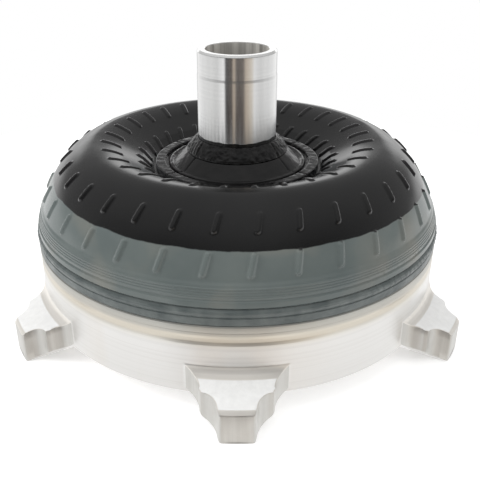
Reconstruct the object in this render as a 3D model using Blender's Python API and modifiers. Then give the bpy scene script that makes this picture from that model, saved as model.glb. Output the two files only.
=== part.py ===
"""Lock-up torque converter, standing on its mounting lugs with the pump drive hub up.

Lengths below are in millimetres and are scaled to metres when a mesh is made. The turning axis
is Z, every object's origin lies on it, and the lug pads touch the ground at z = 0. One lug
faces -Y. Pieces that touch on the real thing are kept GAP apart.
"""

from math import atan2, cos, hypot, pi, radians, sin, tan, tau

import bmesh
import bpy
import numpy as np
from mathutils import Matrix

MM = 0.001
GAP = 0.3
MERGE = 0.00001
LARGE = 48  # facets round a large turned piece
MIDDLE = 36
SMALL = 18
FRONT = radians(-90)

# Housing
BODY_R = 125.0
WALL_R = 119.3  # inside of the cover's wall
COVER_BOTTOM_Z = 11.0
FLOOR_Z = 20.0
COVER_TOP_Z = 54.0
BOSS_R = 27.0
BOSS_Z = 26.5
WELD_TOP_Z = 63.2

# Mounting lugs
LUGS = 6
LUG_TIP_R = 147.0
LUG_TIP_HALF = 9.5
LUG_TIP_Z = 19.8
LUG_FILLET_R = 12.0
LUG_FILLET_CENTRE = (132.8, 31.0)
LUG_SCALLOP_R = 12.2
LUG_SCALLOP_CENTRE = (147.1, 21.9)
LUG_ROOT_Z = 32.0
PAD_HALF = 9.0
BOLT_CIRCLE_R = 136.53  # a 10.75 in bolt circle
BOLT_HOLE_R = 4.76
BOLT_DEPTH = 14.0

# Pump drive hub and its flange
HUB_R = 23.8
HUB_TIP_R = 23.55
HUB_BORE_R = 18.9
HUB_BASE_Z = 90.0
HUB_STEP_Z = 149.5
HUB_TOP_Z = 163.5
FLANGE_R = 50.6
FLANGE_Z = 92.2
FLANGE_TOP_Z = 96.5
CONE_TOP_R = 31.0
CONE_TOP_Z = 102.5

# Outside of the impeller shell: a squared-off ellipse, then an arc and a cone down to the bowl
CROWN_R = 87.3
CROWN_TOP_Z = 110.0
CROWN_FOOT_Z = 42.2
CROWN_WIDE = 40.1
CROWN_POWER = 1.136
FLANK_ARC_R = 32.0
FLANK_TURN = radians(30)
BOWL = [(58.6, 98.3), (55.4, 95.2), (52.0, 92.0)]
SHELL_FOOT = [(123.8, 63.5), (124.3, 64.4), (124.2, 67.4), (123.0, 68.2), (122.4, 74.2)]
SHELL_SEAT = [(32.0, 91.8), (32.0, 88.8)]
SHELL_INSIDE = [(54.6, 91.0), (76.0, 103.6), (90.0, 105.9), (104.5, 96.4), (114.6, 82.0), (118.9, 73.0)]
SHELL_INSIDE.append((WALL_R, 63.5))

# Dimples pressed over the vane tabs, along a line of (radius, degrees from the front)
DIMPLES = 32
DIMPLE_HALF_WIDE = 2.2
DIMPLE_HIGH = 1.3
DIMPLE_LINE = [(53.5, 10.0), (62.5, 6.0), (74.0, 8.0), (83.5, 5.5), (100.5, 6.4), (108.6, 5.2), (119.4, 3.2)]

# Bladed rings: (radius, z) along the flow, from the inner edge to the outer one
MID_Z = 73.0
CORE = [(66.6, 80.6), (77.0, 89.6), (94.0, 88.6), (104.0, 75.2)]
CORE_T = 1.4
IMPELLER_TIPS = [(55.6, 87.6), (76.0, 101.6), (100.8, 95.6), (115.8, 75.4)]
TURBINE_TIPS = [(55.8, 57.8), (74.5, 44.2), (102.0, 48.6), (114.0, 70.6)]
VANE_T = 1.3
TURBINE_VANES = 29
STATOR_VANES = 19

# One-way clutch
ROLLERS = 6
ROLLER_R = 3.4
ROLLER_PITCH_R = 30.8
CAM_LOW_Z = 67.2
CAM_HIGH_Z = 82.8

# Lock-up clutch and damper
SPLINES = 11
DAMPER_SPRINGS = 4
DAMPER_PITCH_R = 54.0
DAMPER_Z = 33.0
COIL_R = 4.4
WIRE_R = 0.8
COIL_HALF_LONG = 16.0
WINDOW_HALF_LONG = 17.0
WINDOW_HALF_WIDE = 4.9

# Looks: base colour, metallic, roughness
STEEL = ((0.72, 0.72, 0.71), 1.0, 0.3)
BRIGHT = ((0.80, 0.79, 0.77), 1.0, 0.2)
GREY_PAINT = ((0.20, 0.23, 0.235), 0.0, 0.3)
BLACK_PAINT = ((0.012, 0.012, 0.013), 0.0, 0.3)
DARK_STEEL = ((0.30, 0.30, 0.31), 1.0, 0.4)
ALLOY = ((0.62, 0.63, 0.64), 1.0, 0.45)
FRICTION = ((0.20, 0.13, 0.08), 0.0, 0.8)
SEAL = ((0.03, 0.03, 0.03), 0.0, 0.6)
BRONZE = ((0.60, 0.42, 0.18), 1.0, 0.4)

# Pieces that move as one; each body gets an empty on the axis
BODIES = {
    "housing": (
        "front_cover", "crank_pilot", "closure_weld", "impeller_shell", "impeller_blades", "pump_drive_hub",
        "hub_flange", "hub_weld", "clutch_drum", "clutch_reaction_plate", "clutch_snap_ring",
        "cover_bearing_front_race", "impeller_bearing_rear_race",
    ),
    "turbine": (
        "turbine_shell", "turbine_blades", "turbine_hub", "damper_hub_flange", "cover_bearing_rear_race",
        "turbine_bearing_front_race",
    ),
    "damper_drive": (
        "damper_drive_plate", "damper_cover_plate", "damper_spring_1", "damper_spring_2", "damper_spring_3",
        "damper_spring_4",
    ),
    "piston": ("clutch_piston", "piston_outer_seal", "piston_inner_seal"),
    "stator_race": ("stator_inner_race", "turbine_bearing_rear_race", "impeller_bearing_front_race"),
    "stator": (
        "stator_wheel", "stator_cam", "stator_front_cap", "stator_rear_cap", "stator_snap_ring",
        "clutch_roller_1", "clutch_roller_2", "clutch_roller_3", "clutch_roller_4", "clutch_roller_5",
        "clutch_roller_6",
        "roller_spring_1", "roller_spring_2", "roller_spring_3", "roller_spring_4", "roller_spring_5",
        "roller_spring_6",
    ),
}


# --- Helpers -------------------------------------------------------------------------------------

def clear_scene():
    for obj in list(bpy.data.objects):
        bpy.data.objects.remove(obj, do_unlink=True)


def collection(name):
    found = bpy.data.collections.get(name)
    if found is None:
        found = bpy.data.collections.new(name)
        bpy.context.scene.collection.children.link(found)
    return found


def add_object(name, data, look):
    """An object in the part's collection or, with no look, a cutter in the other one."""
    obj = bpy.data.objects.new(name, data)
    if look is None:
        collection("cutters").objects.link(obj)
        obj.hide_render = True
        obj.display_type = "WIRE"
        return obj
    collection("torque_converter").objects.link(obj)
    paint = bpy.data.materials.new(name + "_look")
    paint.use_nodes = True
    shader = paint.node_tree.nodes["Principled BSDF"]
    shader.inputs["Base Color"].default_value = (*look[0], 1.0)
    shader.inputs["Metallic"].default_value = look[1]
    shader.inputs["Roughness"].default_value = look[2]
    data.materials.append(paint)
    return obj


def add_mesh(name, shape, look):
    """An object from a closed bmesh, its faces turned outwards."""
    bmesh.ops.recalc_face_normals(shape, faces=shape.faces)
    mesh = bpy.data.meshes.new(name)
    shape.to_mesh(mesh)
    shape.free()
    return add_object(name, mesh, look)


def polar(r, angle):
    return (r * cos(angle), r * sin(angle))


def profile_shape(profile):
    """A bmesh of a (radius, z) outline at +X that runs down its outer side, left open on the axis.

    Each point carries its place in the given outline.
    """
    shape = bmesh.new()
    station = shape.verts.layers.int.new("station")
    corners = []
    for i, (r, z) in enumerate(profile):
        corner = shape.verts.new((r * MM, 0.0, z * MM))
        corner[station] = i
        corners.append(corner)
    pairs = list(zip(profile, profile[1:] + profile[:1]))
    if sum(a[0] * b[1] - b[0] * a[1] for a, b in pairs) > 0:
        corners.reverse()
    for a, b in zip(corners, corners[1:] + corners[:1]):
        if a.co.x > 0 or b.co.x > 0:
            shape.edges.new((a, b))
    return shape


def turned(name, profile, look, facets=LARGE):
    """A profile turned about Z by a Screw modifier."""
    mesh = bpy.data.meshes.new(name)
    shape = profile_shape(profile)
    shape.to_mesh(mesh)
    shape.free()
    obj = add_object(name, mesh, look)
    screw = obj.modifiers.new("turn", "SCREW")
    screw.steps = facets
    screw.render_steps = facets
    screw.use_merge_vertices = True
    screw.merge_threshold = MERGE
    return obj


def ring(name, r_in, r_out, z_low, z_high, look, facets=SMALL):
    return turned(name, [(r_in, z_high), (r_out, z_high), (r_out, z_low), (r_in, z_low)], look, facets)


def spun(profile, steps):
    """A bmesh of a profile turned about Z, for a shape whose points are then moved."""
    shape = profile_shape(profile)
    loop = shape.verts[:] + shape.edges[:]
    bmesh.ops.spin(shape, geom=loop, cent=(0, 0, 0), axis=(0, 0, 1), angle=tau, steps=steps, use_merge=True)
    bmesh.ops.remove_doubles(shape, verts=shape.verts, dist=MERGE)
    return shape


def solid_curve(name, curve, look, matrix):
    """A mesh object from a curve, with its loose caps welded on."""
    guide = bpy.data.objects.new(name, curve)
    collection("cutters").objects.link(guide)
    graph = bpy.context.evaluated_depsgraph_get()
    mesh = bpy.data.meshes.new_from_object(guide.evaluated_get(graph))
    bpy.data.objects.remove(guide)
    shape = bmesh.new()
    shape.from_mesh(mesh)
    bmesh.ops.remove_doubles(shape, verts=shape.verts, dist=MERGE)
    bmesh.ops.transform(shape, matrix=matrix, verts=shape.verts)
    return add_mesh(name, shape, look)


def plate(name, outlines, z_low, z_high, look, matrix=Matrix()):
    """Flat outlines, the later ones being holes in the first, given thickness as a 2D curve."""
    curve = bpy.data.curves.new(name, "CURVE")
    curve.dimensions = "2D"
    curve.fill_mode = "BOTH"
    curve.extrude = (z_high - z_low) / 2 * MM
    for outline in outlines:
        spline = curve.splines.new("POLY")
        spline.points.add(len(outline) - 1)
        for point, (x, y) in zip(spline.points, outline):
            point.co = (x * MM, y * MM, 0.0, 1.0)
        spline.use_cyclic_u = True
    lift = Matrix.Translation((0.0, 0.0, (z_low + z_high) / 2 * MM))
    return solid_curve(name, curve, look, matrix @ lift)


def radial_bars(name, section, r_low, r_high, angles):
    """Cutters with a (side, z) section, each running out along a radius."""
    shape = bmesh.new()
    outline = [(-z, side) for side, z in section]
    for angle in angles:
        along = Matrix.Rotation(angle, 4, "Z") @ Matrix.Rotation(pi / 2, 4, "Y")
        one = plate("bar", [outline], r_low, r_high, None, along)
        shape.from_mesh(one.data)
        bpy.data.objects.remove(one)
    return add_mesh(name, shape, None)


def cylinders(name, places, radius, length, facets, look, lying=False):
    """Equal cylinders in one mesh, upright or lying along the radius they stand on."""
    shape = bmesh.new()
    for r, angle, z in places:
        place = Matrix.Rotation(angle, 4, "Z") @ Matrix.Translation((r * MM, 0.0, z * MM))
        if lying:
            place = place @ Matrix.Rotation(pi / 2, 4, "Y")
        size = radius * MM
        bmesh.ops.create_cone(
            shape, cap_ends=True, segments=facets, radius1=size, radius2=size, depth=length * MM, matrix=place
        )
    return add_mesh(name, shape, look)


def combine(obj, other, operation):
    step = obj.modifiers.new(other.name, "BOOLEAN")
    step.operation = operation
    step.solver = "EXACT"
    step.object = other


def repeat_round(first, stem, count):
    """Copies of a piece that share its mesh, turned evenly about the axis."""
    first.name = f"{stem}_1"
    for k in range(1, count):
        copy = bpy.data.objects.new(f"{stem}_{k + 1}", first.data)
        copy.rotation_euler.z = tau * k / count
        collection("torque_converter").objects.link(copy)


def toothed(r_root, r_tip, half_root, half_tip, count=SPLINES, phase=0.0):
    """An outline of straight-sided teeth, four points to a tooth; half widths are in degrees."""
    tooth = ((r_root, -half_root), (r_tip, -half_tip), (r_tip, half_tip), (r_root, half_root))
    return [polar(r, phase + tau * k / count + radians(side)) for k in range(count) for r, side in tooth]


def round_beside(outline, r):
    """Points on a circle at the same angles as those of an outline."""
    return [polar(r, atan2(y, x)) for x, y in outline]


def offset(path, distance):
    """An open (radius, z) path moved sideways by a distance, to its left when positive."""
    moved = []
    for i, (r, z) in enumerate(path):
        before, after = path[max(i - 1, 0)], path[min(i + 1, len(path) - 1)]
        dr, dz = after[0] - before[0], after[1] - before[1]
        length = hypot(dr, dz)
        moved.append((r - dz / length * distance, z + dr / length * distance))
    return moved


# --- Front cover ---------------------------------------------------------------------------------

def lug_outline():
    """A lug from above, pointing along +X: root fillets, shoulders, scallops and a square tip."""
    half = [(104.0, LUG_FILLET_CENTRE[1] + 2.0), (120.4, LUG_FILLET_CENTRE[1] + 2.0)]
    for (x, y), r, turns in (
        (LUG_FILLET_CENTRE, LUG_FILLET_R, (0, 22, 44, 67, 90)),
        (LUG_SCALLOP_CENTRE, LUG_SCALLOP_R, (20, 40, 60, 80)),
    ):
        half += [(x - r * cos(turn), y - r * sin(turn)) for turn in map(radians, turns)]
    corner = LUG_TIP_HALF - 1.4
    half += [(LUG_TIP_R - 1.6, LUG_TIP_HALF), (LUG_TIP_R, corner), (LUG_TIP_R + 4.0, corner)]
    return [(x, -y) for x, y in half] + [(x, y) for x, y in reversed(half)]


def front_cover():
    """A turned cup; its lugs are milled from a turned rim that ramps up into the wall."""
    groove_z = 45.8
    cover = turned("front_cover", [
        (0.0, BOSS_Z), (BOSS_R, BOSS_Z), (BOSS_R, FLOOR_Z), (WALL_R, FLOOR_Z), (WALL_R, COVER_TOP_Z),
        (BODY_R, COVER_TOP_Z), (BODY_R, groove_z + 2.2), (BODY_R - 0.8, groove_z + 1.2),
        (BODY_R - 0.8, groove_z - 1.2), (BODY_R, groove_z - 2.2), (BODY_R, COVER_BOTTOM_Z + 1.4),
        (BODY_R - 1.4, COVER_BOTTOM_Z), (0.0, COVER_BOTTOM_Z),
    ], STEEL)
    rim = turned("lug_rim", [
        (121.5, LUG_ROOT_Z), (124.2, LUG_ROOT_Z), (126.1, 27.4), (128.4, 25.4), (LUG_TIP_R - 2.2, LUG_TIP_Z),
        (LUG_TIP_R, LUG_TIP_Z - 2.2), (LUG_TIP_R, 1.4), (LUG_TIP_R - 1.4, 0.0), (116.5, 0.0), (107.5, 12.6),
        (121.5, 12.6),
    ], None, 2 * LARGE)
    angles = [FRONT + tau * k / LUGS for k in range(LUGS)]
    blanks = bmesh.new()
    for angle in angles:
        one = plate("lug_blank", [lug_outline()], -3.0, 40.0, None, Matrix.Rotation(angle, 4, "Z"))
        blanks.from_mesh(one.data)
        bpy.data.objects.remove(one)
    combine(rim, add_mesh("lug_blanks", blanks, None), "INTERSECT")
    edge, side, rise, top = PAD_HALF + 0.9, 35.0, 21.3, 44.0
    half = [(PAD_HALF, -1.0), (PAD_HALF, 0.0), (edge, 1.2), (side, rise), (side, top)]
    section = half + [(-across, z) for across, z in reversed(half)]
    combine(rim, radial_bars("lug_bars", section, 100.0, 152.0, angles), "INTERSECT")
    combine(cover, rim, "UNION")
    places = [(BOLT_CIRCLE_R, angle, BOLT_DEPTH / 2) for angle in angles]
    combine(cover, cylinders("bolt_holes", places, BOLT_HOLE_R, BOLT_DEPTH + 2.0, 10, None), "DIFFERENCE")


def crank_pilot():
    top, low, out = COVER_BOTTOM_Z - GAP, 2.0, 21.65
    profile = [(15.0, top), (out, top), (out, low + 1.0), (out - 1.0, low), (15.0, low)]
    turned("crank_pilot", profile, STEEL, MIDDLE)


def closure_weld():
    """The weld bead, with the lip of the painted cover that it stands on."""
    low, bulge = COVER_TOP_Z + GAP, 0.5
    turned("closure_weld", [
        (WALL_R, WELD_TOP_Z), (BODY_R - 1.0, WELD_TOP_Z), (BODY_R + bulge, WELD_TOP_Z - 1.3),
        (BODY_R + bulge, WELD_TOP_Z - 3.5), (BODY_R, WELD_TOP_Z - 4.5), (BODY_R, low), (WALL_R, low),
    ], GREY_PAINT)


# --- Impeller ------------------------------------------------------------------------------------

def crown(turn):
    """A point on the shell's outside, from the rim at 0 degrees to the top of the crown at 90."""
    turn = radians(turn)
    high = CROWN_TOP_Z - CROWN_FOOT_Z
    return (CROWN_R + CROWN_WIDE * cos(turn) ** CROWN_POWER, CROWN_FOOT_Z + high * sin(turn) ** CROWN_POWER)


def flank(r):
    """A point on the shell's outside between the crown and the bowl, at a radius."""
    arc_end = CROWN_R - FLANK_ARC_R * sin(FLANK_TURN)
    if r > arc_end:
        return (r, CROWN_TOP_Z - FLANK_ARC_R + (FLANK_ARC_R ** 2 - (CROWN_R - r) ** 2) ** 0.5)
    arc_end_z = CROWN_TOP_Z - FLANK_ARC_R * (1 - cos(FLANK_TURN))
    return (r, arc_end_z - (arc_end - r) * tan(FLANK_TURN))


def impeller_shell():
    """A turned shell with three lines of points to a dimple, whose middle point is raised.

    The inside needs only one line of points to a dimple, so its points are merged in threes.
    """
    rows = [[crown(t) for t in (34, 40, 46)], [crown(t) for t in (55, 61, 67)], [crown(78)]]
    rows += [[flank(r) for r in (85.0, 79.0, 73.0)], [flank(62.5)] + BOWL[:2], BOWL[2:]]
    outside, middles = list(SHELL_FOOT), set()
    for row in rows:
        if len(row) == 3:
            middles.add(len(outside) + 1)
        outside += row
    raised = offset(outside, DIMPLE_HIGH)
    shape = spun(outside + SHELL_SEAT + SHELL_INSIDE, 3 * DIMPLES)
    station = shape.verts.layers.int["station"]
    pitch = tau / DIMPLES
    for corner in shape.verts:
        i = corner[station]
        r, z = hypot(corner.co.x, corner.co.y) / MM, corner.co.z / MM
        dimple, side = divmod(round(atan2(corner.co.y, corner.co.x) / (pitch / 3)) + 1, 3)
        side -= 1
        angle = FRONT + radians(np.interp(r, *zip(*DIMPLE_LINE))) + pitch * dimple
        if i <= len(outside):
            angle += side * DIMPLE_HALF_WIDE / max(r, 60.0)
        if side == 0 and i in middles:
            r, z = raised[i]
        corner.co = (*(c * MM for c in polar(r, angle)), z * MM)
    bmesh.ops.remove_doubles(shape, verts=shape.verts, dist=MERGE)
    add_mesh("impeller_shell", shape, BLACK_PAINT)


def bladed_ring(name, count, core, tips, sweep, look):
    """A thin core ring with two facets to a vane, the narrow ones being extruded into vanes."""
    toward_middle = CORE_T if core[1][1] < MID_Z else -CORE_T
    inner = offset(core, toward_middle)
    shape = spun(core + inner[::-1], 2 * count)
    station = shape.verts.layers.int["station"]
    column = shape.verts.layers.int.new("column")
    last = len(core) - 1
    for corner in shape.verts:
        corner[column] = round(atan2(corner.co.y, corner.co.x) / (pi / count)) % (2 * count)
    narrow = []
    for face in shape.faces:
        on_core = all(corner[station] <= last for corner in face.verts)
        if on_core and len({corner[column] // 2 for corner in face.verts}) == 1:
            narrow.append(face)
    grown = bmesh.ops.extrude_face_region(shape, geom=narrow)["geom"]
    bmesh.ops.delete(shape, geom=narrow, context="FACES")
    at_tip = {corner for corner in grown if isinstance(corner, bmesh.types.BMVert)}
    for corner in shape.verts:
        i = corner[station]
        i = min(i, 2 * last + 1 - i)
        path = tips if corner in at_tip else core if corner[station] <= last else inner
        r, z = path[i]
        middle = tau * (corner[column] // 2) / count + sweep * (i / last - 0.5 + 0.25 * sin(pi * i / last))
        angle = middle + (corner[column] % 2 - 0.5) * VANE_T / r
        corner.co = (*(c * MM for c in polar(r, angle)), z * MM)
    add_mesh(name, shape, look)


def pump_drive_hub():
    chamfer = 1.3
    turned("pump_drive_hub", [
        (HUB_BORE_R + 0.5, HUB_TOP_Z), (HUB_TIP_R - chamfer, HUB_TOP_Z), (HUB_TIP_R, HUB_TOP_Z - chamfer),
        (HUB_TIP_R, HUB_STEP_Z + 0.25), (HUB_R, HUB_STEP_Z), (HUB_R, HUB_BASE_Z), (HUB_BORE_R, HUB_BASE_Z),
        (HUB_BORE_R, HUB_TOP_Z - 0.5),
    ], BRIGHT, MIDDLE)


def hub_flange():
    """The cone that carries the hub, with a bead, a groove and a flat rim round its foot."""
    bore = HUB_R + GAP
    turned("hub_flange", [
        (bore, CONE_TOP_Z), (CONE_TOP_R, CONE_TOP_Z), (39.1, 95.6), (40.0, 96.0), (42.0, 96.0), (42.5, 94.1),
        (44.2, 94.1), (44.8, FLANGE_TOP_Z), (FLANGE_R - 0.4, FLANGE_TOP_Z), (FLANGE_R, FLANGE_TOP_Z - 0.4),
        (FLANGE_R, FLANGE_Z), (bore, FLANGE_Z),
    ], BLACK_PAINT, MIDDLE)


def hub_weld():
    bore, foot = HUB_R + GAP, CONE_TOP_Z + GAP
    turned("hub_weld", [
        (bore, 110.9), (25.1, 110.7), (27.6, 108.2), (30.5, 104.2), (CONE_TOP_R - 0.1, foot), (bore, foot),
    ], BLACK_PAINT, MIDDLE)


# --- Turbine -------------------------------------------------------------------------------------

def turbine_shell():
    skin = [(117.4, 71.6), (115.6, 62.0), (108.4, 49.4), (94.0, 40.4), (80.0, 38.9), (61.0, 48.5)]
    skin += [(46.0, 58.8), (35.2, 58.8)]
    inside = offset(skin, -1.8)
    inside[0] = (115.6, 71.6)
    inside[-1] = (35.2, 60.5)
    turned("turbine_shell", skin + inside[::-1], DARK_STEEL, 32)


def turbine_hub():
    """The hub bolted to the turbine shell, with the splined sleeve for the gearbox's input shaft."""
    hub = turned("turbine_hub", [
        (14.2, 60.0), (34.6, 60.0), (34.6, 58.4), (45.4, 58.4), (45.4, 54.6), (31.0, 54.6), (28.0, 52.0),
        (28.0, 42.0), (24.0, 38.0), (24.0, 32.8), (14.2, 32.8),
    ], DARK_STEEL, 28)
    spline = toothed(14.9, 12.4, 8.5, 5.5, 12)
    combine(hub, plate("input_spline", [round_beside(spline, 16.2), spline], 33.6, 59.2, None), "UNION")


# --- Stator and its one-way clutch ---------------------------------------------------------------

def stator_wheel():
    wheel = ring("stator_wheel", 44.6, 49.0, 64.0, 87.0, ALLOY, 2 * STATOR_VANES)
    combine(wheel, ring("stator_band", 62.6, 65.0, 68.0, 78.0, None, STATOR_VANES), "UNION")
    section = [(-2.1, 66.2), (1.1, 66.2), (3.5, 71.5), (8.1, 79.6), (6.7, 79.6), (-1.9, 71.5)]
    angles = [tau * (k + 0.5) / STATOR_VANES for k in range(STATOR_VANES)]
    combine(wheel, radial_bars("stator_vanes", section, 48.3, 63.2, angles), "UNION")


def stator_cam():
    """The outer race: six ramps that narrow in the direction the rollers lock."""
    shares = (0.0, 0.15, 0.3, 0.45, 0.6, 0.75, 0.9, 0.94)
    ramp = list(zip(shares, (34.0, 34.1, 34.6, 35.0, 35.6, 36.3, 36.6, 34.9)))
    pitch = tau / ROLLERS
    inner = [polar(r, pitch * (k + share - 0.3)) for k in range(ROLLERS) for share, r in ramp]
    plate("stator_cam", [round_beside(inner, 43.9), inner], CAM_LOW_Z, CAM_HIGH_Z, DARK_STEEL)


def stator_inner_race():
    spline = toothed(17.6, 15.6, 8.0, 5.5, 12)
    plate("stator_inner_race", [round_beside(spline, 27.0), spline], 66.2, 84.0, DARK_STEEL)


def rollers_and_springs():
    tall = CAM_HIGH_Z - CAM_LOW_Z - 0.4
    place = (ROLLER_PITCH_R, 0.0, (CAM_LOW_Z + CAM_HIGH_Z) / 2)
    roller = cylinders("roller", [place], ROLLER_R, tall, 10, BRIGHT)
    repeat_round(roller, "clutch_roller", ROLLERS)
    low_r, high_r, half_t = 29.2, 32.8, 0.6
    bends = [(low_r if i % 2 == 0 else high_r, radians(9.5 + 5 * i)) for i in range(6)]
    inner_side = [polar(r - half_t, angle) for r, angle in bends]
    outer_side = [polar(r + half_t, angle) for r, angle in bends]
    spring = plate("spring", [inner_side + outer_side[::-1]], 70.0, 80.0, BRIGHT)
    repeat_round(spring, "roller_spring", ROLLERS)


def stator_caps():
    ring("stator_front_cap", 27.6, 43.7, 64.9, 66.9, BRONZE, 24)
    ring("stator_rear_cap", 27.6, 43.7, 83.1, 85.0, BRONZE, 24)
    ring("stator_snap_ring", 40.8, 44.1, 85.5, 86.5, BRIGHT, 24)


# --- Thrust bearings -----------------------------------------------------------------------------

def thrust_bearing(name, r_in, r_out, z_low, z_high):
    """Two races and, between them, a cage with needles that stand proud of both its faces."""
    race = 1.05
    middle = (z_low + z_high) / 2
    ring(f"{name}_front_race", r_in, r_out, z_low, z_low + race, BRIGHT)
    ring(f"{name}_rear_race", r_in, r_out, z_high - race, z_high, BRIGHT)
    cage = ring(f"{name}_cage", r_in + 0.4, r_out - 0.4, middle - 0.8, middle + 0.8, BRONZE)
    places = [((r_in + r_out) / 2, tau * k / 6, middle) for k in range(6)]
    needle_r = (z_high - z_low) / 2 - race - GAP
    needles = cylinders(f"{name}_needles", places, needle_r, r_out - r_in - 2.8, 6, None, True)
    combine(cage, needles, "UNION")


def thrust_bearings():
    thrust_bearing("cover_bearing", 14.4, 23.4, BOSS_Z + GAP, 32.5)
    thrust_bearing("turbine_bearing", 17.6, 27.0, 60.3, 65.9)
    thrust_bearing("impeller_bearing", 19.2, 27.0, 84.3, HUB_BASE_Z - GAP)


# --- Lock-up clutch ------------------------------------------------------------------------------

def clutch_drum():
    inner = toothed(100.9, 103.4, 7.6, 7.4)
    drum = plate("clutch_drum", [round_beside(inner, 106.6), inner], FLOOR_Z + GAP, 37.2, DARK_STEEL)
    combine(drum, ring("drum_groove", 98.0, 102.6, 34.6, 36.2, None, MIDDLE), "DIFFERENCE")


def clutch_plates():
    lugged = toothed(99.2, 102.7, 7.1, 6.9)
    plate("clutch_steel_plate", [lugged, round_beside(lugged, 77.0)], 27.65, 29.25, STEEL)
    plate("clutch_reaction_plate", [lugged, round_beside(lugged, 77.0)], 31.85, 34.2, STEEL)
    inner = toothed(75.8, 71.8, 7.9, 7.7)
    plate("clutch_friction_plate_1", [round_beside(inner, 98.4), inner], 25.35, 27.35, FRICTION)
    plate("clutch_friction_plate_2", [round_beside(inner, 98.4), inner], 29.55, 31.55, FRICTION)
    ring("clutch_snap_ring", 93.5, 102.2, 34.8, 36.0, BRIGHT, MIDDLE)


def clutch_piston():
    """The sliding piston, with a seal groove in its bore and in its rim."""
    r_in, r_out, low, high, deep = BOSS_R + 0.5, 99.3, 21.0, 25.0, 1.2
    turned("clutch_piston", [
        (r_in, high), (r_out, high), (r_out, 23.9), (r_out - deep, 23.9), (r_out - deep, 22.1), (r_out, 22.1),
        (r_out, low), (r_in, low), (r_in, 22.3), (r_in + deep, 22.3), (r_in + deep, 24.1), (r_in, 24.1),
    ], ALLOY, 28)
    ring("piston_outer_seal", 98.35, 99.6, 22.35, 23.65, SEAL, 28)
    ring("piston_inner_seal", 27.2, 28.4, 22.55, 23.85, SEAL, 28)


# --- Damper --------------------------------------------------------------------------------------

def spring_windows(name):
    """Cutters for the windows that hold the damper's springs."""
    shape = bmesh.new()
    size = Matrix.Diagonal((2 * WINDOW_HALF_WIDE * MM, 2 * WINDOW_HALF_LONG * MM, 20.0 * MM, 1.0))
    for k in range(DAMPER_SPRINGS):
        turn = Matrix.Rotation(tau * k / DAMPER_SPRINGS, 4, "Z")
        place = turn @ Matrix.Translation((DAMPER_PITCH_R * MM, 0.0, DAMPER_Z * MM))
        bmesh.ops.create_cube(shape, size=1.0, matrix=place @ size)
    return add_mesh(name, shape, None)


def damper_plates():
    teeth = toothed(71.0, 74.1, 8.2, 7.9, SPLINES, pi / SPLINES)
    flat = [round_beside(teeth, 67.5), round_beside(teeth, 34.0)]
    drive = plate("damper_drive_plate", flat, 28.4, 30.2, DARK_STEEL)
    combine(drive, plate("drive_plate_rim", [teeth, round_beside(teeth, 66.6)], 26.7, 33.4, None), "UNION")
    cover = ring("damper_cover_plate", 34.0, 65.6, 35.8, 37.4, DARK_STEEL, MIDDLE)
    flange = ring("damper_hub_flange", 24.5, 62.0, 31.5, 34.5, STEEL, MIDDLE)
    for piece in (drive, cover, flange):
        combine(piece, spring_windows(piece.name + "_windows"), "DIFFERENCE")


def damper_springs():
    turns, per_turn = 4, 7
    curve = bpy.data.curves.new("coil", "CURVE")
    curve.dimensions = "3D"
    curve.bevel_depth = WIRE_R * MM
    curve.bevel_resolution = 0
    curve.use_fill_caps = True
    spline = curve.splines.new("POLY")
    spline.points.add(turns * per_turn)
    for i, point in enumerate(spline.points):
        turn = tau * i / per_turn
        along = COIL_HALF_LONG * (2 * i / (turns * per_turn) - 1)
        out, up = polar(COIL_R - WIRE_R, turn)
        point.co = ((DAMPER_PITCH_R + out) * MM, along * MM, (DAMPER_Z + up) * MM, 1.0)
    repeat_round(solid_curve("coil", curve, STEEL, Matrix()), "damper_spring", DAMPER_SPRINGS)


def apply_and_shade():
    """Modifiers are applied, so that sharp edges can be told from round ones."""
    graph = bpy.context.evaluated_depsgraph_get()
    for obj in collection("torque_converter").objects:
        if obj.modifiers:
            mesh = bpy.data.meshes.new_from_object(obj.evaluated_get(graph))
            obj.modifiers.clear()
            obj.data = mesh
        obj.data.shade_smooth()
        obj.data.set_sharp_from_angle(angle=radians(35))


def add_bodies():
    for body, pieces in BODIES.items():
        axis = bpy.data.objects.new(body + "_axis", None)
        collection("torque_converter").objects.link(axis)
        for piece in pieces:
            bpy.data.objects[piece].parent = axis


def main():
    clear_scene()
    front_cover()
    crank_pilot()
    closure_weld()
    impeller_shell()
    bladed_ring("impeller_blades", DIMPLES, CORE, IMPELLER_TIPS, radians(-16), ALLOY)
    pump_drive_hub()
    hub_flange()
    hub_weld()
    turbine_shell()
    turbine_core = [(r, 2 * MID_Z - z) for r, z in CORE]
    bladed_ring("turbine_blades", TURBINE_VANES, turbine_core, TURBINE_TIPS, radians(30), ALLOY)
    turbine_hub()
    stator_wheel()
    stator_cam()
    stator_inner_race()
    rollers_and_springs()
    stator_caps()
    thrust_bearings()
    clutch_drum()
    clutch_plates()
    clutch_piston()
    damper_plates()
    damper_springs()
    apply_and_shade()
    add_bodies()


main()
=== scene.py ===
"""Looks of a lock-up torque converter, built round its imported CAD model.

Lengths are in millimetres and MM turns them into metres. The turning axis is Z, angles are measured
from -Y, where one lug points, towards +X, and z = 0 is the plane that the lug pads stand on.
"""

from math import cos, hypot, pi, radians, sin, tan

import bpy
import numpy as np
from mathutils import Matrix, Vector, noise


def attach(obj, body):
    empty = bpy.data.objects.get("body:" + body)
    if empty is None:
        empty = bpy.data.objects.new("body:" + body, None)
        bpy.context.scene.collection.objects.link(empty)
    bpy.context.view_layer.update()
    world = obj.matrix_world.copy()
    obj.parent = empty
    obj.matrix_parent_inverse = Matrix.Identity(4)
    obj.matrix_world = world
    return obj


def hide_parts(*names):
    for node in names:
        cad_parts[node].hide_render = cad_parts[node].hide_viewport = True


MM = 0.001

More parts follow.
